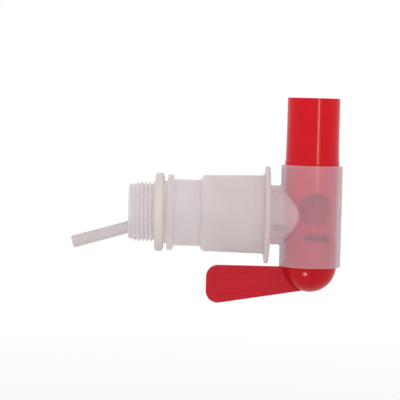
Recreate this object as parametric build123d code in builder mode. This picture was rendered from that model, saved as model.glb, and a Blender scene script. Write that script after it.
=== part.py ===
from build123d import *
import os
from math import atan2, degrees, radians, sin, tan

# Jerrycan tap: a hollow turning plug in a translucent barrel, on a threaded inlet adaptor that swivels.
# Millimetres. X runs along the inlet, away from the container, and Z up the spout.
# The origin is on the inlet axis, in the plane where the washer seals on the container.

# Threaded end of the adaptor: a 3/4 inch parallel pipe thread, kept as its outside cylinder
thread_radius = 13.22
thread_length = 8.9
thread_depth = 1.16
thread_wall = 1.86
nose_length = 2.6
nose_chamfer = 0.4

# Sealing washer and the seat behind it
washer_width = 3.98
washer_thickness = 3.9
washer_thinning = 0.3
washer_bevel = 1.75
washer_rounding = 1.1
washer_clearance = 0.05
seat_relief = 0.3
seat_height = 0.68
seat_length = 1.6

# Adaptor behind the washer: collar, neck, the socket for the body's spigot and the finger flange
collar_inset = 0.55
collar_length = 2.6
neck_length = 11.9
neck_wall = 1.7
step_run = 1.0
step_height = 2.15
socket_wall = 1.6
socket_length = 28.1
socket_draft = 0.55
flange_height = 4.15
flange_thickness = 2.5
flange_tip = 1.7
socket_rounding = 1.3
root_rounding = 1.0
inside_taper = 1.4

# Swivel: the body's spigot turns in the socket and a bead snaps into a groove
flare_height = 2.05
swivel_clearance = 0.05
end_gap = 0.3
snap_height = 0.35
snap_width = 2.0
snap_setback = 6.5
socket_lead_in = 0.4

# Tap body: spigot and barrel in one moulding
spigot_inset = 0.45
spigot_wall = 1.6
flare_length = 3.0
spigot_show = 4.7
outlet_land = 1.55
barrel_wall = 1.65
barrel_top = 22.2
rim_rounding = 0.3
notch_depth = 1.5
notch_clearance = 0.15

# Plug: spout, core, dome and handle in one moulding
core_radius = 11.8
plug_clearance = 0.05
plug_wall = 1.8
spout_rise = 29.7
spout_draft = 0.2
spout_straight = 15.0
lip_rounding = 0.4
stop_gap = 0.1
stop_height = 2.0
stop_proud = 0.15
dome_inset = 0.5

# Passages in the plug: the liquid port, the web under it, the air slot and the air channel behind
port_radius = 7.5
port_height = 3.0
port_turn = 9.0
web_drop = 0.3
web_thickness = 1.4
slot_drop = 1.55
slot_height = 3.3
slot_turn = 17.0
slot_span = 66.0
partition_offset = 4.0
partition_thickness = 1.4

# Handle: a flat paddle with a raised rim, and a lug on its root that turns in the stop notch
plug_travel = 90.0
handle_gap = 0.35
handle_pass = 1.3
lug_gap = 0.2
lug_setback = 0.1
handle_reach = 45.6
handle_height = 17.7
handle_taper = 9.65
handle_thickness = 3.0
handle_corner = 5.3
handle_edge = 0.4
handle_root = 3.5
handle_rim = 2.75
recess_margin = 3.4
recess_gap = 3.0
recess_depth = 0.8
recess_corner = 2.6
recess_end_flat = 0.452

# Air insert and breather tube
insert_clearance = 0.02
insert_gap = 0.05
tube_radius = 2.65
tube_bore = 1.85
tube_height = -2.15
holder_wall = 1.2
holder_reach = 2.0
holder_depth = 11.8
holder_floor = 4.6
end_wall = 1.5
tube_lead = 0.2
tube_bend_radius = 104.0
tube_bend_angle = 16.4
tube_tip_length = 29.0
tube_tip_bevel = 14.0

# The barrel and spigot are sized from the plug's core, and the adaptor's socket from the spigot
barrel_bore = core_radius + plug_clearance
barrel_radius = barrel_bore + barrel_wall
plug_bore = core_radius - plug_wall
spout_tip_radius = core_radius - spout_draft
outlet_radius = barrel_bore - outlet_land
spigot_radius = barrel_radius - spigot_inset
spigot_fit_radius = spigot_radius + flare_height
socket_bore = spigot_fit_radius + swivel_clearance
socket_radius = socket_bore + socket_wall
socket_end_radius = socket_radius + socket_draft
flange_radius = socket_end_radius + flange_height
neck_radius = socket_radius - step_height
neck_bore = neck_radius - neck_wall

# The seat, washer and collar are sized from the thread
nose_radius = thread_radius - thread_depth
thread_bore = nose_radius - thread_wall
seat_radius = thread_radius + seat_height
washer_bore = thread_radius + washer_clearance
washer_radius = washer_bore + washer_width
washer_land = washer_radius - washer_bevel
collar_radius = washer_radius - collar_inset

# Places along the inlet axis
seat_x = washer_thickness
collar_x = seat_x + seat_length
neck_x = collar_x + collar_length
step_x = neck_x + neck_length
socket_floor_x = step_x + neck_wall
flange_x = step_x + socket_length
mouth_x = flange_x + flange_thickness
spigot_x = socket_floor_x + end_gap
snap_x = mouth_x - snap_setback
flare_x = mouth_x - flare_length
barrel_x = mouth_x + spigot_show + barrel_radius

# Heights: the handle passes under the flange, the barrel reaches down to the handle, and the
# handle's lug stands up into the notch in the barrel's rim
handle_top = -flange_radius - handle_pass
barrel_bottom = handle_top + handle_gap
lug_top = barrel_bottom + notch_depth - lug_gap
lug_reach = barrel_radius - lug_setback
dome_z = barrel_bottom + dome_inset
stop_z = barrel_top + stop_gap
spout_top = barrel_top + spout_rise
web_top = port_height - port_radius - web_drop
web_bottom = web_top - web_thickness
slot_top = web_bottom - slot_drop

# The tube's holder, and the shallow field of the handle inside its rim
holder_radius = tube_radius + holder_wall
holder_x = spigot_x - holder_reach
tube_end_x = holder_x + holder_depth
recess_start = handle_reach - recess_margin
recess_end = barrel_radius + recess_gap

# Working planes: the barrel seen from the front, and its axis
barrel_front = Plane(origin=(barrel_x, 0, 0), x_dir=(1, 0, 0), z_dir=(0, -1, 0))
barrel_axis = Axis((barrel_x, 0, 0), (0, 0, 1))


def barrel_level(height, turn=0.0):
    """A level plane on the barrel's axis, its first direction turned about that axis."""
    return Plane(origin=(barrel_x, 0, height), z_dir=(0, 0, 1)).rotated((0, 0, turn))


def round_corner(sketch, point, radius):
    """Rounds the corner of a section that lies nearest to a point."""
    fillet(sketch.vertices().sort_by_distance(point)[0], radius=radius)


def spigot_bore_points(inset):
    """Half section of the passage through the body's spigot, drawn smaller by inset."""
    return [
        (spigot_x, 0),
        (spigot_x, spigot_fit_radius - spigot_wall - inset),
        (flare_x, spigot_fit_radius - spigot_wall - inset),
        (mouth_x + end_gap, spigot_radius - spigot_wall - inset),
        (barrel_x - barrel_bore / 2, outlet_radius - inset),
        (barrel_x - barrel_bore / 2, 0),
    ]


# Adaptor, turned about the inlet axis: thread, washer seat, collar, neck, socket and flange
with BuildPart() as thread_adaptor:
    tip_inset = (flange_thickness - flange_tip) / 2
    tip_start = flange_radius - flange_tip / 2
    snap_reach = snap_width / 2 + swivel_clearance
    with BuildSketch(Plane.XZ) as adaptor_section:
        with BuildLine():
            Polyline(
                (-thread_length - nose_length, thread_bore),
                (-thread_length - nose_length, nose_radius - nose_chamfer),
                (-thread_length - nose_length + nose_chamfer, nose_radius),
                (-thread_length - (thread_radius - nose_radius) / 2, nose_radius),
                (-thread_length, thread_radius),
                (0, thread_radius),
                (0, thread_radius - seat_relief),
                (seat_x, thread_radius - seat_relief),
                (seat_x, seat_radius),
                (collar_x, seat_radius),
                (collar_x, collar_radius),
                (neck_x, collar_radius),
                (neck_x, neck_radius),
                (step_x, neck_radius),
                (step_x + step_run, socket_radius),
                (flange_x, socket_end_radius),
                (flange_x + tip_inset, tip_start),
            )
            ThreePointArc(
                (flange_x + tip_inset, tip_start),
                (flange_x + flange_thickness / 2, flange_radius),
                (mouth_x - tip_inset, tip_start),
            )
            Polyline(
                (mouth_x - tip_inset, tip_start),
                (mouth_x, socket_end_radius),
                (mouth_x, socket_bore + socket_lead_in),
                (mouth_x - socket_lead_in, socket_bore),
                (snap_x + snap_reach, socket_bore),
            )
            ThreePointArc(
                (snap_x + snap_reach, socket_bore),
                (snap_x, socket_bore + snap_height + swivel_clearance),
                (snap_x - snap_reach, socket_bore),
            )
            Polyline(
                (snap_x - snap_reach, socket_bore),
                (socket_floor_x, socket_bore),
                (socket_floor_x, neck_bore),
                (neck_x - neck_wall / 2, neck_bore),
                (neck_x - neck_wall / 2 - inside_taper, thread_bore),
                (-thread_length - nose_length, thread_bore),
            )
        make_face()
        round_corner(adaptor_section, (step_x + step_run, socket_radius), socket_rounding)
        round_corner(adaptor_section, (flange_x, socket_end_radius), root_rounding)
        round_corner(adaptor_section, (neck_x, neck_radius), root_rounding / 2)
        round_corner(adaptor_section, (step_x, neck_radius), root_rounding / 2)
    revolve(axis=Axis.X)
thread_adaptor.part.label = "thread_adaptor"

# Washer, a soft ring that thins towards its rounded rim, pressed against the seat
with BuildPart() as sealing_washer:
    with BuildSketch(Plane.XZ) as washer_section:
        with BuildLine():
            Polyline(
                (washer_thinning, washer_radius),
                (0, washer_land),
                (0, washer_bore),
                (washer_thickness, washer_bore),
                (washer_thickness, washer_land),
                (washer_thickness - washer_thinning, washer_radius),
                close=True,
            )
        make_face()
        round_corner(washer_section, (washer_thinning, washer_radius), washer_rounding)
        round_corner(washer_section, (washer_thickness - washer_thinning, washer_radius), washer_rounding)
    revolve(axis=Axis.X)
sealing_washer.part.label = "sealing_washer"

# Tap body: the spigot is turned about the inlet axis and the barrel stands across its end
with BuildPart() as tap_body:
    with BuildSketch(Plane.XZ):
        with BuildLine():
            Polyline(
                (spigot_x, 0),
                (spigot_x, spigot_fit_radius - socket_lead_in),
                (spigot_x + socket_lead_in, spigot_fit_radius),
                (snap_x - snap_width / 2, spigot_fit_radius),
            )
            ThreePointArc(
                (snap_x - snap_width / 2, spigot_fit_radius),
                (snap_x, spigot_fit_radius + snap_height),
                (snap_x + snap_width / 2, spigot_fit_radius),
            )
            Polyline(
                (snap_x + snap_width / 2, spigot_fit_radius),
                (flare_x, spigot_fit_radius),
                (mouth_x - end_gap, spigot_radius),
                (barrel_x, spigot_radius),
                (barrel_x, 0),
                (spigot_x, 0),
            )
        make_face()
    revolve(axis=Axis.X)
    with BuildSketch(barrel_level(barrel_bottom)):
        Circle(barrel_radius)
    extrude(amount=barrel_top - barrel_bottom)
    rims = tap_body.edges().filter_by(GeomType.CIRCLE).filter_by(lambda edge: edge.radius == barrel_radius)
    fillet(rims.filter_by(Plane.XY), radius=rim_rounding)
    with BuildSketch(barrel_level(barrel_bottom)):
        Circle(barrel_bore)
    extrude(amount=barrel_top - barrel_bottom, mode=Mode.SUBTRACT)
    with BuildSketch(Plane.XZ):
        with BuildLine():
            Polyline(*spigot_bore_points(inset=0.0), close=True)
        make_face()
    revolve(axis=Axis.X, mode=Mode.SUBTRACT)
    # Stop notch in the lower rim: the handle's lug swings in it from the inlet side to the back
    root_half = degrees(atan2(handle_thickness / 2 + notch_clearance, barrel_bore))
    with BuildSketch(barrel_level(barrel_bottom, turn=plug_travel - root_half)):
        with BuildLine():
            notch = CenterArc((0, 0), 2 * barrel_radius, 0, plug_travel + 2 * root_half)
            Polyline(notch @ 1, (0, 0), notch @ 0)
        make_face()
    extrude(amount=notch_depth, mode=Mode.SUBTRACT)
tap_body.part.label = "tap_body"

# Air insert: a web across the spigot that keeps air under it apart from the liquid above,
# closed at its inner end, with the holder of the breather tube moulded on it
with BuildPart() as air_insert:
    insert_x = tube_end_x - end_wall
    insert_length = barrel_x - insert_x
    with BuildSketch(Plane.XY.offset(web_bottom)):
        with Locations((insert_x + insert_length / 2, 0)):
            Rectangle(insert_length, 2 * spigot_fit_radius)
    extrude(amount=web_thickness)
    with BuildSketch(Plane.YZ.offset(insert_x)):
        with Locations((0, web_bottom - spigot_fit_radius / 2)):
            Rectangle(2 * spigot_fit_radius, spigot_fit_radius)
    extrude(amount=end_wall)
    with BuildSketch(Plane.XZ):
        with BuildLine():
            Polyline(*spigot_bore_points(inset=insert_clearance), close=True)
        make_face()
    revolve(axis=Axis.X, mode=Mode.INTERSECT)
    with BuildSketch(barrel_level(web_bottom)):
        Circle(barrel_bore + insert_gap)
    extrude(amount=web_thickness, mode=Mode.SUBTRACT)
    with BuildSketch(Plane.YZ.offset(holder_x)):
        with Locations((0, tube_height)):
            Circle(holder_radius)
    extrude(amount=holder_depth + holder_floor)
    with BuildSketch(Plane.YZ.offset(holder_x)):
        with Locations((0, tube_height)):
            Circle(tube_radius)
    extrude(amount=holder_depth, mode=Mode.SUBTRACT)
    # The passage turns down behind the tube's end, through the web to the air space under it
    with BuildSketch(Plane.YZ.offset(tube_end_x)):
        with Locations((0, tube_height)):
            Circle(tube_bore)
    extrude(amount=holder_floor / 2, mode=Mode.SUBTRACT)
    with BuildSketch(Plane.XY.offset(web_bottom)):
        with Locations((tube_end_x + holder_floor / 2, 0)):
            Circle(tube_bore)
    extrude(amount=tube_height - web_bottom, mode=Mode.SUBTRACT)
air_insert.part.label = "air_insert"

# Breather tube: straight in its holder, then bent gently down, with a slanting end
with BuildPart() as breather_tube:
    with BuildLine(Plane.XZ) as tube_path:
        held = Line((tube_end_x, tube_height), (holder_x - tube_lead, tube_height))
        bend = JernArc(start=held @ 1, tangent=held % 1, radius=tube_bend_radius, arc_size=tube_bend_angle)
        tip = Line(bend @ 1, bend @ 1 + (bend % 1) * tube_tip_length)
    with BuildSketch(Plane.YZ.offset(tube_end_x)):
        with Locations((0, tube_height)):
            Circle(tube_radius)
            Circle(tube_bore, mode=Mode.SUBTRACT)
    sweep(path=tube_path.line)
    tip_cut = Plane(origin=tip @ 1, x_dir=(0, 1, 0), z_dir=tip % 1).rotated((tube_tip_bevel, 0, 0))
    split(bisect_by=tip_cut.offset(-tube_radius * sin(radians(tube_tip_bevel))), keep=Keep.BOTTOM)
breather_tube.part.label = "breather_tube"

# Plug: the handle's plate and the turned outside, then hollowed into a liquid side and an air side
with BuildPart() as plug:
    # The paddle's lower edge rises at the taper angle until it runs into the dome
    with BuildSketch(barrel_front) as paddle:
        with BuildLine():
            lower_edge = PolarLine(
                (-handle_reach, handle_top - handle_height),
                handle_reach - handle_root,
                handle_taper,
                length_mode=LengthMode.HORIZONTAL,
            )
            Polyline(
                lower_edge @ 1,
                (-handle_root, lug_top),
                (-lug_reach, lug_top),
                (-lug_reach, handle_top),
                (-handle_reach, handle_top),
                (-handle_reach, handle_top - handle_height),
            )
        make_face()
        round_corner(paddle, (-handle_reach, handle_top), handle_corner)
        round_corner(paddle, (-handle_reach, handle_top - handle_height), handle_corner)
    extrude(amount=handle_thickness / 2, both=True)
    outline = plug.edges().group_by(Axis.Y)
    fillet(outline[0] + outline[-1], radius=handle_edge)
    with BuildSketch(barrel_front) as plug_section:
        with BuildLine():
            Polyline(
                (0, dome_z - core_radius),
                (0, spout_top),
                (spout_tip_radius, spout_top),
                (spout_tip_radius, spout_top - spout_straight),
                (core_radius, stop_z + stop_height),
                (barrel_bore + stop_proud, stop_z + stop_height - stop_proud),
                (barrel_bore + stop_proud, stop_z + stop_proud),
                (core_radius, stop_z),
                (core_radius, dome_z),
            )
            CenterArc((0, dome_z), core_radius, 0, -90)
        make_face()
        round_corner(plug_section, (spout_tip_radius, spout_top), lip_rounding)
    revolve(axis=barrel_axis)
    # Liquid side: from the web up to the lip, in front of the partition
    with BuildSketch(barrel_level(web_top)):
        Circle(plug_bore)
        with Locations((0, partition_offset + plug_bore)):
            Rectangle(2 * plug_bore, 2 * plug_bore, mode=Mode.SUBTRACT)
    extrude(amount=spout_top - web_top, mode=Mode.SUBTRACT)
    # Air side: behind the partition, and the whole space under the web down into the dome
    with BuildSketch(barrel_level(web_bottom)):
        Circle(plug_bore)
        with Locations((0, partition_offset + partition_thickness - plug_bore)):
            Rectangle(2 * plug_bore, 2 * plug_bore, mode=Mode.SUBTRACT)
    extrude(amount=spout_top - web_bottom, mode=Mode.SUBTRACT)
    with BuildSketch(barrel_front):
        with BuildLine():
            Polyline((0, dome_z - plug_bore), (0, web_bottom), (plug_bore, web_bottom), (plug_bore, dome_z))
            CenterArc((0, dome_z), plug_bore, 0, -90)
        make_face()
    revolve(axis=barrel_axis, mode=Mode.SUBTRACT)
    # The port faces the inlet when the handle has made its quarter turn
    with BuildSketch(barrel_front.rotated((0, port_turn, 0))):
        with Locations((0, port_height)):
            Circle(port_radius)
    extrude(amount=core_radius + plug_wall, mode=Mode.SUBTRACT)
    with BuildSketch(barrel_level(slot_top - slot_height, turn=slot_turn - 90 - slot_span / 2)):
        with BuildLine():
            slot = CenterArc((0, 0), core_radius + plug_wall, 0, slot_span)
            Polyline(slot @ 1, (0, 0), slot @ 0)
        make_face()
    extrude(amount=slot_height, mode=Mode.SUBTRACT)
    # Shallow field on both faces of the paddle, inside its raised rim
    field_top = handle_top - handle_rim
    field_low = handle_top - handle_height + handle_rim + recess_margin * tan(radians(handle_taper))
    field_rise = (recess_start - recess_end) * tan(radians(handle_taper))
    recess_tip = (field_top - field_low - field_rise - recess_end_flat) / 2
    for side in (-1, 1):
        with BuildSketch(barrel_front.offset(side * handle_thickness / 2)) as field:
            with BuildLine():
                low_side = PolarLine(
                    (-recess_start, field_low),
                    recess_start - recess_end,
                    handle_taper,
                    length_mode=LengthMode.HORIZONTAL,
                )
                Polyline(low_side @ 1, (-recess_end, field_top), (-recess_start, field_top), low_side @ 0)
            make_face()
            round_corner(field, (-recess_start, field_top), recess_corner)
            round_corner(field, (-recess_start, field_low), recess_corner)
            round_corner(field, (-recess_end, field_top), recess_tip)
            round_corner(field, (-recess_end, field_top - 2 * recess_tip), recess_tip)
        extrude(amount=-side * recess_depth, mode=Mode.SUBTRACT)
plug.part.label = "plug"

os.makedirs("parts", exist_ok=True)
for piece in (thread_adaptor, sealing_washer, tap_body, air_insert, breather_tube, plug):
    export_step(piece.part, f"parts/{piece.part.label}.step")
    print(piece.part.label, round(piece.part.volume, 1))
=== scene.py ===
from math import atan2, cos, pi, radians, sin, sqrt, tan

import bmesh
import bpy
import numpy as np
from mathutils import Matrix, Vector


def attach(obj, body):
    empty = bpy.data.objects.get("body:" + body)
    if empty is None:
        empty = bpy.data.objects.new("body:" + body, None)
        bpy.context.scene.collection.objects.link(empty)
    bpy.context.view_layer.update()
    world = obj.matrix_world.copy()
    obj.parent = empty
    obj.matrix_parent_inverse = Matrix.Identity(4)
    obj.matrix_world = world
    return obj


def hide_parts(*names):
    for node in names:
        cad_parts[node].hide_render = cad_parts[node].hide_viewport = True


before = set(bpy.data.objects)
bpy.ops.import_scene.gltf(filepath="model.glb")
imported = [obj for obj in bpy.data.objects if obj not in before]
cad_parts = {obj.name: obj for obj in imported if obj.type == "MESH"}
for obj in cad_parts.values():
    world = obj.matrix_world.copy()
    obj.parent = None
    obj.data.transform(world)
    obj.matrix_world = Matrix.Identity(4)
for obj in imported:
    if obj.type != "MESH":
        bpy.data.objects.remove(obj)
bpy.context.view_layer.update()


# Studio: the tap hangs free over a pale floor, as a cut-out catalogue picture shows it. The white
# room and a soft lamp in front light it. A tall narrow lamp to the right draws the line on the
# spout, and a small low one makes the spot on the dome.

frame_width = 0.17656          # what the picture's width spans at the tap, in metres
sensor_width = 36.0
camera_distance = 0.9
camera_elevation = radians(2.75)
camera_roll = radians(1.47)
camera_target = Vector((0.0197, 0.0, 0.0057))
floor_height, floor_half = -0.12, 6.0
floor_white = 0.6                        # the share of plain white that the floor shows near the tap
shadow_reach, shadow_end = 0.2, 0.6      # the floor keeps its shadow up to here, and loses it by there

forward = Vector((0, cos(camera_elevation), -sin(camera_elevation)))
level = Vector((1, 0, 0))
upright = level.cross(forward)
rolled_right = level * cos(camera_roll) + upright * sin(camera_roll)
rolled_up = upright * cos(camera_roll) - level * sin(camera_roll)
camera_data = bpy.data.cameras.new("camera")
camera_data.sensor_width = sensor_width
camera_data.lens = sensor_width * camera_distance / frame_width
camera_data.clip_start = 0.01
camera_data.clip_end = 100.0
camera = bpy.data.objects.new("camera", camera_data)
bpy.context.scene.collection.objects.link(camera)
camera.matrix_world = Matrix.Translation(camera_target - forward * camera_distance) @ Matrix(
    (rolled_right, rolled_up, -forward)
).transposed().to_4x4()
bpy.context.scene.camera = camera
bpy.context.scene.view_settings.view_transform = "Standard"


def soft_lamp(name, azimuth, elevation, distance, size, power, aim):
    """A rectangular lamp of a size (across, up) that faces aim. Azimuth 0 is the camera's side."""
    turn, rise = radians(azimuth), radians(elevation)
    away = Vector((sin(turn) * cos(rise), -cos(turn) * cos(rise), sin(rise)))
    data = bpy.data.lights.new(name, "AREA")
    data.shape = "RECTANGLE"
    data.size, data.size_y = size
    data.energy = power
    lamp = bpy.data.objects.new(name, data)
    lamp.location = Vector(aim) + away * distance
    lamp.rotation_mode = "QUATERNION"
    lamp.rotation_quaternion = away.to_track_quat("Z", "Y")
    lamp.visible_camera = False
    bpy.context.scene.collection.objects.link(lamp)
    return lamp


front_lamp = soft_lamp(
    "front_lamp", azimuth=-8, elevation=20, distance=0.6, size=(0.6, 0.5), power=0.8, aim=(0.03, 0, 0.01)
)
front_lamp.visible_glossy = False        # it lights the tap evenly, but isn't mirrored in it
strip_lamp = soft_lamp(
    "strip_lamp", azimuth=20, elevation=0, distance=0.7, size=(0.06, 0.2), power=0.8, aim=(0.0688, 0, 0.08)
)
low_lamp = soft_lamp(
    "low_lamp", azimuth=-23.3, elevation=-34.9, distance=0.04, size=(0.011, 0.008), power=0.0002,
    aim=(0.0667, -0.0111, -0.0252),
)
low_lamp.data.spread = radians(24)
for lamp in (strip_lamp, low_lamp):
    lamp.visible_diffuse = False         # these two only draw highlights


def node_tree(owner):
    """The emptied node tree of a material or of the world, and its output."""
    owner.use_nodes = True
    tree = owner.node_tree
    tree.nodes.clear()
    in_world = isinstance(owner, bpy.types.World)
    return tree, tree.nodes.new("ShaderNodeOutputWorld" if in_world else "ShaderNodeOutputMaterial")


def node(tree, kind, inputs, **choices):
    """A node of a kind, each of its named inputs set to a value or joined to another node's output."""
    made = tree.nodes.new(kind)
    for choice, value in choices.items():
        setattr(made, choice, value)
    for name, value in inputs.items():
        if isinstance(value, bpy.types.NodeSocket):
            tree.links.new(value, made.inputs[name])
        else:
            made.inputs[name].default_value = value
    return made


def combined(tree, operation, first, second):
    """Two values combined by an operation, each a number or another node's output."""
    return node(tree, "ShaderNodeMath", {0: first, 1: second}, operation=operation).outputs[0]


def carried_over(tree, value, low, high, start=0.0, end=1.0, way="LINEAR"):
    """The value as it goes from start to end, carried over to low to high and held there beyond them."""
    inputs = {"Value": value, "From Min": start, "From Max": end, "To Min": low, "To Max": high}
    return node(tree, "ShaderNodeMapRange", inputs, interpolation_type=way).outputs["Result"]


def seen_directly(tree):
    """1 for rays from the camera, from a mirror or through the tap, and 0 for light on its way to it."""
    path = node(tree, "ShaderNodeLightPath", {})
    mirrored = combined(tree, "MAXIMUM", path.outputs["Is Camera Ray"], path.outputs["Is Glossy Ray"])
    return combined(tree, "MAXIMUM", mirrored, path.outputs["Is Transmission Ray"])


world = bpy.data.worlds.new("surround")
bpy.context.scene.world = world
tree, output = node_tree(world)
room_light = node(tree, "ShaderNodeBackground", {"Color": (1.0, 0.985, 0.985, 1), "Strength": 0.95})
seen_white = node(tree, "ShaderNodeBackground", {"Color": (1, 1, 1, 1), "Strength": 1.0})
room_mix = {0: seen_directly(tree), 1: room_light.outputs[0], 2: seen_white.outputs[0]}
tree.links.new(node(tree, "ShaderNodeMixShader", room_mix).outputs[0], output.inputs["Surface"])

floor_mesh = bpy.data.meshes.new("floor")
floor_corners = [(-1, -1), (1, -1), (1, 1), (-1, 1)]
floor_points = [(x * floor_half, y * floor_half, floor_height) for x, y in floor_corners]
floor_mesh.from_pydata(floor_points, [], [(0, 1, 2, 3)])
floor = bpy.data.objects.new("floor", floor_mesh)
bpy.context.scene.collection.objects.link(floor)
floor_paint = bpy.data.materials.new("pale_floor")
tree, output = node_tree(floor_paint)
matt = node(tree, "ShaderNodeBsdfDiffuse", {"Color": (0.88, 0.88, 0.88, 1)})
white = node(tree, "ShaderNodeEmission", {"Strength": 1.0})
place = node(tree, "ShaderNodeTexCoord", {})
away = node(tree, "ShaderNodeVectorMath", {0: place.outputs["Object"]}, operation="LENGTH")
whiteness = carried_over(tree, away.outputs["Value"], floor_white, 1.0, shadow_reach, shadow_end)
share = combined(tree, "MULTIPLY", seen_directly(tree), whiteness)
floor_mix = {0: share, 1: matt.outputs[0], 2: white.outputs[0]}
tree.links.new(node(tree, "ShaderNodeMixShader", floor_mix).outputs[0], output.inputs["Surface"])
floor_mesh.materials.append(floor_paint)


# Threaded adaptor: undyed polyethylene, moulded in one piece and milky rather than clear. Its 3/4
# inch parallel pipe thread screws into the container. Behind it come the washer's seat, a collar,
# a neck, the socket that turns on the body, and a finger flange.

thread_major, thread_root, thread_pitch = 13.22, 12.06, 1.814
thread_round = 0.249          # radius of the thread's crests and roots
thread_flank = 1.921          # slope of a flank of a 55 degree thread
thread_first = -8.2535        # a crest's place at angle 0
thread_start, thread_end = -10.2, -0.05
fade_start, thread_fade = -10.0, 1.6         # the first turn grows out of the nose over this length
thread_rows, adaptor_columns = 112, 256
nose_x, thread_bore = -11.5, 10.2
land_end, land_radius = 3.9, 12.92           # the land that carries the washer
seat_end, seat_radius = 5.5, 13.9
collar_end, collar_radius = 8.1, 16.7
throat_end, neck_start, neck_end, neck_radius, neck_bore = 5.85, 7.25, 20.0, 14.6, 12.9
socket_start, socket_floor, socket_radius, socket_bore = 21.0, 21.7, 16.75, 15.15
socket_end, socket_end_radius = 48.1, 17.3
flange_start, flange_end, flange_radius = 48.45, 50.25, 21.45
mouth_start, mouth_end, mouth_radius, mouth_bore = 50.2, 50.6, 17.4, 15.5
snap_x, snap_radius = 44.1, 15.5             # the groove that the body snaps into
groove_foot, groove_floor = 1.05, 0.5        # half its width, at the wall and at its floor
milky_light = 0.12                           # how much of a milky wall the light that passes it meets


def noise(tree, scale, detail):
    """Cloudy noise on the piece's own coordinates, with about scale lumps to a metre."""
    place = node(tree, "ShaderNodeTexCoord", {})
    inputs = {"Vector": place.outputs["Object"], "Scale": scale, "Detail": detail}
    return node(tree, "ShaderNodeTexNoise", inputs).outputs["Fac"]


def position(tree, axis):
    """The place along one axis of the piece's own coordinates, in metres."""
    place = node(tree, "ShaderNodeTexCoord", {})
    return node(tree, "ShaderNodeSeparateXYZ", {0: place.outputs["Object"]}).outputs[axis]


def blended(tree, share, low, high):
    """The colour that goes from low to high by a share, each three numbers or another node's output."""
    ends = [end if isinstance(end, bpy.types.NodeSocket) else (*end, 1) for end in (low, high)]
    inputs = {"Factor": share, "A": ends[0], "B": ends[1]}
    return node(tree, "ShaderNodeMix", inputs, data_type="RGBA").outputs["Result"]


def bumped(tree, height, strength, distance, under=None):
    """The surface's direction tilted by a height in metres, over the bumps under it where there are any."""
    inputs = {"Height": height, "Strength": strength, "Distance": distance}
    if under is not None:
        inputs["Normal"] = under
    return node(tree, "ShaderNodeBump", inputs).outputs["Normal"]


def light_passes(tree, share):
    """1 for sight, and a smaller share for shadows and scattered light: how much of a wall they meet."""
    path = node(tree, "ShaderNodeLightPath", {})
    onward = combined(tree, "MAXIMUM", path.outputs["Is Shadow Ray"], path.outputs["Is Diffuse Ray"])
    return carried_over(tree, onward, 1.0, share)


def milky_plastic(name, colour, cover, roughness, slant=2.0, glow=None):
    """Undyed polyethylene: cloudy through the wall, with a waxy skin of fine and broad waves.

    cover is how much of what lies behind the wall hides when it is looked through squarely. It
    grows to the power of slant towards the edges, where the view passes through more of it.
    Light gets through a cloudy wall more easily than sight does, so shadows and scattered light
    meet only the milky_light of it. glow is (colour, from x, to x): a painted tint that stands
    in for the red light that the core throws into the plastic near it.
    """
    material = bpy.data.materials.new(name)
    tree, output = node_tree(material)
    darker, lighter = ([channel * strength for channel in colour] for strength in (0.955, 1.045))
    paint = blended(tree, noise(tree, 110.0, 3.0), darker, lighter)
    # painted light: near the core the colour goes over to a tint for the red light it throws
    if glow is not None:
        tint, glow_start, glow_end = glow
        reach = glow_start * 0.001, glow_end * 0.001
        near = carried_over(tree, position(tree, "X"), 0.0, 1.0, *reach, way="SMOOTHSTEP")
        paint = blended(tree, near, paint, tint)
    skin = noise(tree, 1400.0, 4.0)
    waves = bumped(tree, noise(tree, 260.0, 2.0), strength=0.25, distance=0.0002)
    facing = node(tree, "ShaderNodeLayerWeight", {"Blend": 0.5}).outputs["Facing"]
    hides = carried_over(tree, combined(tree, "POWER", facing, slant), cover, 1.0)
    shader = node(tree, "ShaderNodeBsdfPrincipled", {
        "Base Color": paint,
        "Roughness": carried_over(tree, skin, roughness - 0.07, roughness + 0.07),
        "Alpha": combined(tree, "MULTIPLY", hides, light_passes(tree, milky_light)),
        "Normal": bumped(tree, skin, strength=0.12, distance=0.00006, under=waves),
        "IOR": 1.5,
        "Specular IOR Level": 0.35,
        "Subsurface Weight": 1.0,
        "Subsurface Radius": (1.0, 0.95, 0.95),
        "Subsurface Scale": 0.006,
    })
    tree.links.new(shader.outputs[0], output.inputs["Surface"])
    return material


def rounded_outline(corners, steps=6):
    """The closed outline through corners (across, up, radius), each corner an exact arc.

    With A and C the points where the arc leaves the straight sides and P the corner, the arc is
    ((1-s)(1-s)A + 2ws(1-s)P + ssC) / ((1-s)(1-s) + 2ws(1-s) + ss), and w is the cosine of half
    the angle that the outline turns there.
    """
    corners = np.asarray(corners, float)
    point, radius = corners[:, :2], corners[:, 2:3]
    into = point - np.roll(point, 1, axis=0)
    into /= np.linalg.norm(into, axis=1, keepdims=True)
    out = np.roll(into, -1, axis=0)
    turn_cos = np.clip(np.sum(into * out, axis=1, keepdims=True), -1.0, 1.0)
    half_tan = np.sqrt((1 - turn_cos) / np.maximum(1 + turn_cos, 1e-9))
    weight = np.sqrt((1 + turn_cos) / 2)
    start, end = point - into * radius * half_tan, point + out * radius * half_tan
    s = np.linspace(0, 1, steps)[None, :, None]
    a, b, c = (1 - s) ** 2, 2 * weight[:, :, None] * s * (1 - s), s**2
    arcs = (a * start[:, None] + b * point[:, None] + c * end[:, None]) / (a + b + c)
    line = arcs.reshape(-1, 2)
    apart = np.linalg.norm(line - np.roll(line, 1, axis=0), axis=1) > 1e-6
    return line[apart]


def divided(outline, longest):
    """The closed outline with each side cut evenly, so that no run is longer than longest."""
    after = np.roll(outline, -1, axis=0)
    cuts = np.maximum(1, np.ceil(np.linalg.norm(after - outline, axis=1) / longest)).astype(int)
    side = np.repeat(np.arange(len(outline)), cuts)
    step = np.arange(len(side)) - np.repeat(np.cumsum(cuts) - cuts, cuts)
    return outline[side] + (after - outline)[side] * (step / cuts[side])[:, None]


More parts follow.
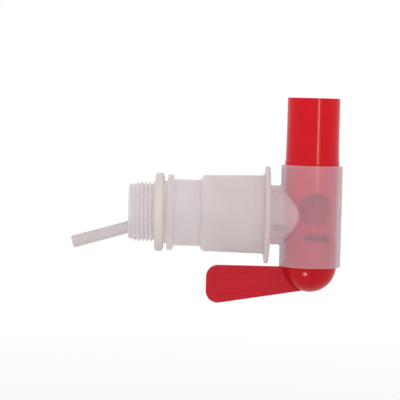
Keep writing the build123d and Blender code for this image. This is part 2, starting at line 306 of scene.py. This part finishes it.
def grid_faces(rows, columns, wrap_rows=True):
    """Four-sided faces between the neighbours of a grid that closes round and, if it wraps, end to end."""
    row = np.arange(rows if wrap_rows else rows - 1)[:, None]
    column = np.arange(columns)[None, :]
    below, beside = (row + 1) % rows, (column + 1) % columns
    here, there = row * columns, below * columns
    corners = (here + column, here + beside, there + beside, there + column)
    return np.stack([corner.ravel() for corner in corners], axis=1)


def capped_faces(rows, columns):
    """The faces of a grid whose first and last rows are closed by a flat face each."""
    last = (rows - 1) * columns
    caps = [list(range(columns)), list(range(last, last + columns))[::-1]]
    return [list(face) for face in grid_faces(rows, columns, wrap_rows=False)] + caps


def solid(name, points, faces, sharp=32.0):
    """A closed piece from points in millimetres: doubles merged, faces outwards, smooth but for its edges."""
    mesh = bpy.data.meshes.new(name)
    metres = np.asarray(points, float).reshape(-1, 3) * 0.001
    mesh.from_pydata(metres, [], [list(map(int, face)) for face in faces])
    shape = bmesh.new()
    shape.from_mesh(mesh)
    bmesh.ops.remove_doubles(shape, verts=shape.verts, dist=1e-8)
    bmesh.ops.dissolve_degenerate(shape, dist=1e-8, edges=shape.edges)
    bmesh.ops.recalc_face_normals(shape, faces=shape.faces)
    shape.to_mesh(mesh)
    shape.free()
    mesh.shade_smooth()
    mesh.set_sharp_from_angle(angle=radians(sharp))
    piece = bpy.data.objects.new(name, mesh)
    bpy.context.scene.collection.objects.link(piece)
    return piece


def turned_points(along, radius, angle, axis, centre=(0, 0, 0)):
    """Points at a radius and an angle about an axis.

    About X, the radius times the angle's cosine is y and times its sine is z. About Z they are x
    and y. centre is added to both.
    """
    along, radius, angle = np.broadcast_arrays(along, radius, angle)
    side, other = radius * np.cos(angle), radius * np.sin(angle)
    order = (along, side, other) if axis == "X" else (side, other, along)
    return np.stack(order, axis=-1) + np.asarray(centre, float)


def turned(name, outline, axis, centre=(0, 0, 0), columns=192, start=0.0):
    """The closed outline (along, radius) carried once round an axis in equal steps, from start steps on."""
    angle = (np.arange(columns) + start)[None, :] * 2 * pi / columns
    points = turned_points(outline[:, :1], outline[:, 1:2], angle, axis, centre)
    return solid(name, points, grid_faces(len(outline), columns))


def thread_height(along, angle):
    """Radius of the thread: rounded crests and roots, and straight flanks between them.

    Near a crest it is the crest's arc, near a root the root's arc, and in between it falls by
    the flank's slope. The crest moves by one pitch in a turn, right-handed.
    """
    away = (along - thread_first) / thread_pitch - angle / (2 * pi)
    away = np.abs(away - np.round(away)) * thread_pitch
    low = thread_pitch / 2 - away
    reach = thread_round * cos(radians(27.5))
    crest = thread_major - thread_round + np.sqrt(np.maximum(thread_round**2 - away**2, 0))
    root = thread_root + thread_round - np.sqrt(np.maximum(thread_round**2 - low**2, 0))
    shoulder = thread_major - thread_round + sqrt(thread_round**2 - reach**2)
    flank = shoulder - thread_flank * (away - reach)
    return np.where(away < reach, crest, np.where(low < reach, root, flank))


adaptor_outline = divided(rounded_outline([
    (nose_x, thread_bore, 0.25), (nose_x, thread_root, 0.45),
    (thread_start, thread_root, 0), (thread_end, thread_root, 0),
    (thread_end, land_radius, 0), (land_end, land_radius, 0),
    (land_end, seat_radius, 0.1), (seat_end, seat_radius, 0.15),
    (seat_end, collar_radius, 0.3), (collar_end, collar_radius, 0.3),
    (collar_end, neck_radius, 0.5), (neck_end, neck_radius, 0.5),
    (socket_start, socket_radius, 1.3), (socket_end, socket_end_radius, 1.0),
    (flange_start, flange_radius, 0.8), (flange_end, flange_radius, 0.8),
    (mouth_end, mouth_radius, 0.3), (mouth_end, mouth_bore, 0.2), (mouth_start, socket_bore, 0.2),
    (snap_x + groove_foot, socket_bore, 0.3), (snap_x + groove_floor, snap_radius, 0.5),
    (snap_x - groove_floor, snap_radius, 0.5), (snap_x - groove_foot, socket_bore, 0.3),
    (socket_floor, socket_bore, 0.15), (socket_floor, neck_bore, 0.25),
    (neck_start, neck_bore, 0.3), (throat_end, thread_bore, 0.3),
]), longest=0.9)
on_thread = np.isclose(adaptor_outline[:, 1], thread_root, rtol=0, atol=0.01)
on_thread &= (adaptor_outline[:, 0] > thread_start - 0.1) & (adaptor_outline[:, 0] < thread_end + 0.01)
first_row, last_row = np.flatnonzero(on_thread)[[0, -1]]
thread_stations = np.linspace(thread_start, thread_end, thread_rows)
adaptor_outline = np.concatenate([
    adaptor_outline[:first_row],
    np.stack([thread_stations, np.full(thread_rows, thread_root)], axis=1),
    adaptor_outline[last_row + 1:],
])
turn = np.linspace(0, 2 * pi, adaptor_columns, endpoint=False)[None, :]
along, radius = adaptor_outline[:, :1], adaptor_outline[:, 1:2]
in_thread = np.zeros((len(adaptor_outline), 1), bool)
in_thread[first_row:first_row + thread_rows] = True
fade = np.clip((along - fade_start) / thread_fade, 0, 1)
risen = thread_root + (thread_height(along, turn) - thread_root) * fade * fade * (3 - 2 * fade)
adaptor_points = turned_points(along, np.where(in_thread, risen, radius), turn, "X")
adaptor = solid("adaptor", adaptor_points, grid_faces(len(adaptor_outline), adaptor_columns), sharp=50.0)
# Its glow tint near the socket's end is painted light: colour for the red light of the core.
adaptor_plastic = milky_plastic(
    "adaptor_polyethylene", (0.59, 0.54, 0.545), cover=0.6, roughness=0.5,
    glow=((0.555, 0.485, 0.49), 40, 51),
)
adaptor.data.materials.append(adaptor_plastic)
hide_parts("thread_adaptor")
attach(adaptor, "adaptor")


# Sealing washer: a soft cream ring that is pushed over the thread against its seat and squeezed
# between the container and the collar. Its rim is a little thinner than its middle.

washer_end, washer_bore = 3.9, 13.27
washer_swell, washer_rim, rim_inset = 15.5, 17.25, 0.3
washer_light = 0.15                          # how much of the washer the light that passes it meets

washer = turned("washer", divided(rounded_outline([
    (rim_inset, washer_rim, 1.1), (0.0, washer_swell, 3.0), (0.0, washer_bore, 0.1),
    (washer_end, washer_bore, 0.1), (washer_end, washer_swell, 3.0),
    (washer_end - rim_inset, washer_rim, 1.1),
]), longest=0.5), "X")
washer_rubber = bpy.data.materials.new("cream_rubber")
tree, output = node_tree(washer_rubber)
shader = node(tree, "ShaderNodeBsdfPrincipled", {
    "Base Color": blended(tree, noise(tree, 180.0, 2.0), (0.605, 0.555, 0.525), (0.665, 0.61, 0.575)),
    "Alpha": light_passes(tree, washer_light),
    "Normal": bumped(tree, noise(tree, 2200.0, 3.0), strength=0.35, distance=0.00008),
    "Roughness": 0.72,
    "Specular IOR Level": 0.3,
})
tree.links.new(shader.outputs[0], output.inputs["Surface"])
washer.data.materials.append(washer_rubber)
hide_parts("sealing_washer")
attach(washer, "adaptor")


# Tap body: spigot and barrel in one moulding of the same undyed polyethylene, with a small fillet
# between them. The core lies close against the barrel's wall, so its red shows through as pink,
# and near the barrel the plastic's colour goes over to a painted tint for the core's light in it.
# The lower rim has a notch in which the handle's root swings a quarter turn.

barrel_x, barrel_low, barrel_top = 68.8, -22.4, 22.2
barrel_radius, barrel_bore, barrel_mouth = 13.5, 11.85, 12.1
bore_low, bore_top, bore_lead = -22.0, 21.8, 0.25
spigot_radius, spigot_fit, ridge_radius = 13.05, 15.1, 15.45
spigot_start, fit_end, flare_end = 22.0, 47.6, 50.3
ridge_foot, ridge_crest = 1.0, 0.3           # half the width of the ridge that snaps in, low and high
passage_open, passage_start, passage_end = 20.0, 50.9, 62.9
passage_fit, passage_bore, passage_end_bore = 13.5, 11.45, 10.3
junction_fillet, bite = 0.9, 0.02
notch_middle, notch_span, notch_top, notch_reach = 135.0, 105.8, -20.9, 30.0
barrel_columns, spigot_columns = 240, 200
beyond = 24.0                  # cuts reach to here, past the barrel's ends
barrel_centre = (barrel_x, 0, 0)


def joined(piece, tool, operation):
    """The piece with the tool joined to it or cut from it, and the tool used up."""
    step = piece.modifiers.new("step", "BOOLEAN")
    step.operation = operation
    step.solver = "EXACT"
    step.material_mode = "TRANSFER"
    step.object = tool
    mesh = bpy.data.meshes.new_from_object(piece.evaluated_get(bpy.context.evaluated_depsgraph_get()))
    piece.modifiers.clear()
    piece.data = mesh
    bpy.data.objects.remove(tool)
    return piece


def prism(name, outline, low, high):
    """An upright solid on a closed outline (x, y), from a low to a high level."""
    points = [np.column_stack([outline, np.full(len(outline), level)]) for level in (low, high)]
    return solid(name, np.concatenate(points), capped_faces(2, len(outline)))


def sector(name, radius, middle, span, low, high):
    """A wedge of a disc about the barrel's axis, with its middle and span in degrees from +X towards +Y."""
    angle = np.radians(np.linspace(middle - span / 2, middle + span / 2, 64))
    edge = np.stack([barrel_x + radius * np.cos(angle), radius * np.sin(angle)], axis=1)
    return prism(name, np.concatenate([[[barrel_x, 0.0]], edge]), low, high)


def junction_bead():
    """The fillet where the spigot meets the barrel: a ring of the places that a ball touches.

    The ball's centre runs where cylinders a ball's radius larger than the spigot and the barrel
    cross: y and z go round the spigot's axis, and x is minus the root of the squared radius of
    the barrel's cylinder less y squared. The section is the arc between the two places that the
    ball touches, and a point inside the wall. The centre is a bite nearer, so that the ring cuts
    into both.
    """
    turn = np.linspace(0, 2 * pi, barrel_columns, endpoint=False)[:, None] + 0.01
    inside = 0.5
    reach = junction_fillet - bite
    round_spigot, round_barrel = spigot_radius + reach, barrel_radius + reach
    centre = np.stack([0 * turn, round_spigot * np.cos(turn), round_spigot * np.sin(turn)], axis=-1)
    centre[..., 0] = -np.sqrt(round_barrel**2 - centre[..., 1] ** 2)
    to_spigot = -centre * (0, 1, 1) / round_spigot
    to_barrel = -centre * (1, 1, 0) / round_barrel
    share = np.linspace(0, 1, 9)[None, :, None]
    way = to_spigot * (1 - share) + to_barrel * share
    arc = centre + way / np.linalg.norm(way, axis=-1, keepdims=True) * junction_fillet
    middle = to_spigot + to_barrel
    inner = centre + middle / np.linalg.norm(middle, axis=-1, keepdims=True) * (junction_fillet + inside)
    points = np.concatenate([arc, inner], axis=1) + barrel_centre
    return solid("junction", points, grid_faces(*points.shape[:2]))


def finished(piece):
    """Slivers taken out, and smooth shading that keeps the edges and is weighted by the faces' size."""
    shape = bmesh.new()
    shape.from_mesh(piece.data)
    bmesh.ops.remove_doubles(shape, verts=shape.verts, dist=2e-7)
    bmesh.ops.dissolve_degenerate(shape, dist=2e-7, edges=shape.edges)
    shape.to_mesh(piece.data)
    shape.free()
    piece.data.shade_smooth()
    piece.data.set_sharp_from_angle(angle=radians(35))
    weigh = piece.modifiers.new("weigh", "WEIGHTED_NORMAL")
    weigh.keep_sharp = True


# The body's and the passage's glow tints are painted light: colour for the red light that the core throws
# into the plastic.
body_plastic = milky_plastic(
    "body_polyethylene", (0.52, 0.42, 0.435), cover=0.38, roughness=0.42, slant=1.6,
    glow=((0.51, 0.448, 0.49), 50, 61),
)
bore_plastic = milky_plastic(
    "bore_polyethylene", (0.56, 0.48, 0.76), cover=0.06, roughness=0.42, slant=6.0
)
passage_plastic = milky_plastic(
    "passage_polyethylene", (0.54, 0.43, 0.44), cover=0.55, roughness=0.5,
    glow=((0.71, 0.59, 0.61), 53, 61),
)
body = turned("tap_shell", divided(rounded_outline([
    (barrel_low, 0.0, 0), (barrel_low, barrel_radius, 0.4),
    (barrel_top, barrel_radius, 0.3), (barrel_top, 0.0, 0),
]), longest=6.0), "Z", barrel_centre, barrel_columns)
spigot = turned("spigot", divided(rounded_outline([
    (spigot_start, 0.0, 0), (spigot_start, spigot_fit, 0.4),
    (snap_x - ridge_foot, spigot_fit, 0.3), (snap_x - ridge_crest, ridge_radius, 0.4),
    (snap_x + ridge_crest, ridge_radius, 0.4), (snap_x + ridge_foot, spigot_fit, 0.3),
    (fit_end, spigot_fit, 0.8), (flare_end, spigot_radius, 0.8),
    (barrel_x, spigot_radius, 0), (barrel_x, 0.0, 0),
]), longest=4.0), "X", columns=spigot_columns)
junction = junction_bead()
for addition in (spigot, junction):
    addition.data.materials.append(body_plastic)
body.data.materials.append(body_plastic)
body = joined(body, spigot, "UNION")
body = joined(body, junction, "UNION")
barrel_hollow = turned("barrel_bore", divided(rounded_outline([
    (-beyond, 0.0, 0), (-beyond, barrel_mouth, 0), (bore_low - bore_lead, barrel_mouth, 0),
    (bore_low, barrel_bore, 0), (bore_top, barrel_bore, 0),
    (bore_top + bore_lead, barrel_mouth, 0), (beyond, barrel_mouth, 0), (beyond, 0.0, 0),
]), longest=6.0), "Z", barrel_centre, barrel_columns, start=0.5)
barrel_hollow.data.materials.append(bore_plastic)
body = joined(body, barrel_hollow, "DIFFERENCE")
passage = turned("spigot_bore", divided(rounded_outline([
    (passage_open, 0.0, 0), (passage_open, passage_fit, 0), (fit_end, passage_fit, 0.8),
    (passage_start, passage_bore, 0.8), (passage_end, passage_end_bore, 0), (passage_end, 0.0, 0),
]), longest=4.0), "X", columns=spigot_columns)
passage.data.materials.append(passage_plastic)
body = joined(body, passage, "DIFFERENCE")
stop_notch = sector("stop_notch", notch_reach, notch_middle, notch_span, -beyond, notch_top)
stop_notch.data.materials.append(body_plastic)
body = joined(body, stop_notch, "DIFFERENCE")
finished(body)
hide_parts("tap_body")
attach(body, "tap")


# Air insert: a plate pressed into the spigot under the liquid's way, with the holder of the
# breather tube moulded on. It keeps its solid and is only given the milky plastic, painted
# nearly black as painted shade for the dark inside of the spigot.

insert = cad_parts["air_insert"]
insert.data.materials.clear()
# painted shade: the insert's near-black colour stands in for the shade inside the spigot
shaded_insert_plastic = milky_plastic("insert_painted_shade", (0.14, 0.135, 0.13), cover=0.92, roughness=0.5)
insert.data.materials.append(shaded_insert_plastic)


# Breather tube: a length of drawn tube pushed into the insert's holder. It leaves the thread
# bent gently down, and its end is cut off square.

tube_radius, tube_bore, tube_height = 2.65, 1.85, -2.15
tube_held, bend_start = 31.8, 19.8                   # it is straight from its seat to the bend
tube_bend, tube_turn, tube_tip = 104.0, radians(16.4), 27.7
tube_columns = 64

held = np.linspace(tube_held, bend_start, 9)[:-1]
bend = np.linspace(0, tube_turn, 28)
run = np.linspace(0, tube_tip, 20)[1:]
bend_x, bend_z = bend_start - tube_bend * np.sin(bend), tube_height - tube_bend * (1 - np.cos(bend))
path_x = np.concatenate([held, bend_x, bend_x[-1] - run * cos(tube_turn)])
path_z = np.concatenate([held * 0 + tube_height, bend_z, bend_z[-1] - run * sin(tube_turn)])
path_turn = np.concatenate([held * 0, bend, run * 0 + tube_turn])[:, None]
around = np.linspace(0, 2 * pi, tube_columns, endpoint=False)[None, :]


def tube_skin(radius):
    """Rings of a radius along the path, which runs straight, then in an arc, then straight again.

    The radius times the cosine of the angle round a ring goes across, and times its sine goes
    square to the path as it is turned there.
    """
    across, up = radius * np.cos(around), radius * np.sin(around)
    x = path_x[:, None] - up * np.sin(path_turn)
    z = path_z[:, None] + up * np.cos(path_turn)
    return np.stack([x, np.broadcast_to(across, x.shape), z], axis=-1)


skin = np.concatenate([tube_skin(tube_radius), tube_skin(tube_bore)[::-1]])
tube = solid("breather", skin, grid_faces(len(skin), tube_columns), sharp=40.0)
tube_plastic = milky_plastic("tube_polyethylene", (0.405, 0.365, 0.365), cover=0.8, roughness=0.4)
tube.data.materials.append(tube_plastic)
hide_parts("breather_tube")
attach(tube, "tap")


# Plug: spout, core, dome and handle in one glossy red moulding. The core is hollow. Above its web
# the liquid goes from the port up to the spout, and air comes down behind a thin partition to the
# slot under the web.

plug_core, plug_wall, spout_top, dome_z = 11.8, 1.8, 51.9, -21.9
spout_radius, spout_start = 11.6, 36.9
bead_radius, bead_start, bead_low, bead_top, bead_end = 12.0, 22.3, 22.45, 24.15, 24.4
web_top, web_low, under_web_top = -4.8, -6.5, -6.2
partition_front, partition_back = 4.0, 5.4
port_turn, port_radius, port_height, port_reach = radians(9.0), 7.5, 3.0, 16.0
slot_middle, slot_span, slot_low, slot_top, slot_reach = -73.0, 66.0, -11.05, -7.75, 16.0
paddle_half, paddle_edge, recess_depth, root_fillet = 1.5, 0.45, 0.8, 0.7
handle_taper, handle_top, handle_low, handle_reach = radians(9.65), -22.75, -40.45, 45.6
handle_root, handle_corner = -3.5, 5.3
recess_side, recess_margin, recess_end, recess_corner, end_corner = 3.4, 2.75, -16.5, 2.6, 3.4
lug_reach, lug_root, lug_half, lug_low, lug_top = 13.4, 10.5, 1.49, -24.25, -21.1
plug_columns, web_columns = 240, 200
painted_shade_below, unshaded_above = -0.024, 0.02       # between these levels, in metres, painted shade darkens the red downwards
plug_hollow = plug_core - plug_wall


def red_plastic(name, low, high, smooth, rough, depth=0.35):
    """Dyed plastic: slow streaks in its pigment, a faint orange-peel skin, a glow where it is thin, and
    painted shade that darkens its red towards the bottom.
    """
    material = bpy.data.materials.new(name)
    tree, output = node_tree(material)
    pigment = noise(tree, 90.0, 3.0)
    streaks = blended(tree, pigment, low, high)
    # painted shade: the red gets darker downwards, for the shade under the barrel and the adaptor
    height = carried_over(tree, position(tree, "Z"), 0.0, 1.0, painted_shade_below, unshaded_above, way="SMOOTHSTEP")
    shader = node(tree, "ShaderNodeBsdfPrincipled", {
        "Base Color": blended(tree, height, (low[0] * 0.84, low[1], low[2]), streaks),
        "Roughness": carried_over(tree, pigment, smooth, rough),
        "Normal": bumped(tree, noise(tree, 420.0, 2.0), strength=0.12, distance=0.0001),
        "IOR": 1.5,
        "Specular IOR Level": 0.15,
        "Subsurface Weight": depth,
        "Subsurface Radius": (1.0, 0.02, 0.02),
        "Subsurface Scale": 0.004,
    })
    tree.links.new(shader.outputs[0], output.inputs["Surface"])
    return material


def quarter(radius, steps):
    """The dome's profile from pole to rim: dome_z less radius times cosine, and radius times sine."""
    angle = np.radians(np.linspace(0, 90, steps))
    return np.stack([dome_z - radius * np.cos(angle), radius * np.sin(angle)], axis=1)


def paddle_loop(edge, inset, face):
    """A loop round the paddle, drawn in by inset and standing at y = face.

    edge is (left, right, top, low, corner, right corner). The top side is level, the low one
    rises to the right by the handle's taper, and the corners are rounded.
    """
    left, right, top, low, corner, corner_right = edge
    sunk = inset / cos(handle_taper)
    shift = inset * tan(handle_taper)
    rise = (right - left) * tan(handle_taper)
    corner, corner_right = max(corner - inset, 0.01), max(corner_right - inset, 0.01)
    line = rounded_outline([
        (left + inset, low + sunk + shift, corner), (right - inset, low + rise + sunk - shift, corner_right),
        (right - inset, top - inset, corner_right), (left + inset, top - inset, corner),
    ], 12)
    return np.stack([line[:, 0] + barrel_x, np.full(len(line), face), line[:, 1]], axis=1)


def plate_loops(side):
    """The paddle's loops on one side: mid-plane, rounded edge, and the slope and floor of its recess.

    Round the edge, a loop is drawn in by the edge's radius times one less the cosine of an angle,
    and stands back from the face by that radius times one less the sine.
    """
    plate = (-handle_reach, handle_root, handle_top, handle_low, handle_corner, 0.0)
    recess_top = handle_top - recess_margin
    recess_low = handle_low + recess_margin + recess_side * tan(handle_taper)
    recess = (recess_side - handle_reach, recess_end, recess_top, recess_low, recess_corner, end_corner)
    loops = [paddle_loop(plate, 0.0, 0.0)]
    for turn in np.radians(np.linspace(0, 90, 6)):
        lift = paddle_edge * (1 - sin(turn))
        loops.append(paddle_loop(plate, paddle_edge * (1 - cos(turn)), side * (paddle_half - lift)))
    slope = ((-0.9, 0.0), (-0.5, 0.04), (-0.1, 0.16), (0.6, 0.64), (1.0, 0.76), (1.4, recess_depth))
    for inset, drop in slope:
        loops.append(paddle_loop(recess, inset, side * (paddle_half - drop)))
    return loops


def fillet_bead(side):
    """A bead in the corner between the paddle's face and the dome, hollowed to a circle that touches both.

    The corner is a circle about the Y axis, so the bead is its section turned about that axis.
    The section's hollow side is an arc of root_fillet about a centre that lies root_fillet off
    the face and off the dome, moved a bite inwards so that the bead cuts into both.
    """
    bite, inside, steps = 0.03, 0.3, 60
    corner_start, corner_end = radians(185), radians(246)      # from +X towards +Z
    centre_y = paddle_half + root_fillet - bite
    centre_r = sqrt((plug_core + root_fillet - bite) ** 2 - centre_y**2)
    bend = np.linspace(0, -atan2(centre_r, centre_y), 9)
    hollow = np.stack([centre_y - root_fillet * np.cos(bend), centre_r + root_fillet * np.sin(bend)], axis=1)
    inner_y, inner_r = paddle_half - inside, centre_r - root_fillet - inside
    section = np.concatenate([hollow, [[hollow[-1, 0], inner_r], [inner_y, inner_r], [inner_y, centre_r]]])
    angle = np.linspace(corner_start, corner_end, steps)[:, None]
    x, z = barrel_x + section[:, 1] * np.cos(angle), dome_z + section[:, 1] * np.sin(angle)
    points = np.stack([x, np.broadcast_to(side * section[:, 0], x.shape), z], axis=-1)
    return solid("bead", points, capped_faces(steps, len(section)))


def hollow_part(chord_y, side):
    """The part of the hollow's circle beyond a chord, towards -Y or +Y: an arc and the chord's ends."""
    angle = (np.arange(plug_columns) + 0.5) * 2 * pi / plug_columns
    circle = np.stack([barrel_x + plug_hollow * np.cos(angle), plug_hollow * np.sin(angle)], axis=1)
    kept = circle[(circle[:, 1] - chord_y) * side > 1e-6]
    kept = kept[np.argsort(np.arctan2(kept[:, 1] - chord_y, kept[:, 0] - barrel_x))]
    half = side * sqrt(plug_hollow**2 - chord_y**2)
    return np.concatenate([kept, [[barrel_x - half, chord_y], [barrel_x + half, chord_y]]])


outer_red = red_plastic("glossy_red", (0.54, 0.003, 0.009), (0.6, 0.004, 0.011), smooth=0.12, rough=0.2)
handle_red = red_plastic("handle_red", (0.57, 0.011, 0.022), (0.63, 0.013, 0.025), smooth=0.2, rough=0.3)
# A lighter copy of the red for the walls of the hollows: painted light that lifts the shade inside the core.
hollow_red_painted_light = red_plastic(
    "hollow_red_painted_light", (0.88, 0.01, 0.02), (0.95, 0.012, 0.022), smooth=0.4, rough=0.5, depth=1.0
)
plug = turned("spout_and_core", divided(np.concatenate([
    rounded_outline([
        (dome_z, 0.0, 0), (dome_z, plug_core, 0), (bead_start, plug_core, 0), (bead_low, bead_radius, 0.12),
        (bead_top, bead_radius, 0.3), (bead_end, plug_core, 0.15), (spout_start, spout_radius, 0),
        (spout_top, spout_radius, 0.4), (spout_top, 0.0, 0),
    ])[1:],
    quarter(plug_core, 31)[:-1],
]), longest=5.0), "Z", barrel_centre, plug_columns)
plug.data.materials.append(outer_red)
front, back = plate_loops(-1), plate_loops(1)
loops = np.array(front[::-1] + back[1:])
paddle = solid("paddle", loops, capped_faces(*loops.shape[:2]), sharp=40.0)
lug = prism("lug", rounded_outline([
    (barrel_x - lug_reach, -lug_half, 0.4), (barrel_x - lug_root, -lug_half, 0),
    (barrel_x - lug_root, lug_half, 0), (barrel_x - lug_reach, lug_half, 0.4),
]), lug_low, lug_top)
for addition in (paddle, lug, fillet_bead(-1), fillet_bead(1)):
    addition.data.materials.append(handle_red if addition is paddle else outer_red)
    plug = joined(plug, addition, "UNION")

port_angle = np.linspace(0, 2 * pi, 96, endpoint=False)
port_across, port_up = port_radius * np.cos(port_angle), port_height + port_radius * np.sin(port_angle)
port_rings = [np.stack([
    barrel_x + (distance * sin(port_turn) + port_across * cos(port_turn)),
    port_across * sin(port_turn) - distance * cos(port_turn),
    port_up,
], axis=1) for distance in (0.0, port_reach)]
hollows = (
    prism("liquid_side", hollow_part(partition_front, -1), web_top, spout_top + 2),
    prism("air_side", hollow_part(partition_back, 1), web_low, spout_top + 2),
    turned("under_web", divided(np.concatenate([
        [[under_web_top, plug_hollow], [under_web_top, 0.0]], quarter(plug_hollow, 25),
    ]), longest=5.0), "Z", barrel_centre, web_columns),
    solid("port", np.concatenate(port_rings), capped_faces(2, len(port_angle))),
    sector("air_slot", slot_reach, slot_middle, slot_span, slot_low, slot_top),
)
for hollow in hollows:
    hollow.data.materials.append(hollow_red_painted_light)
    plug = joined(plug, hollow, "DIFFERENCE")
finished(plug)
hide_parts("plug")
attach(plug, "plug")

bpy.context.view_layer.update()
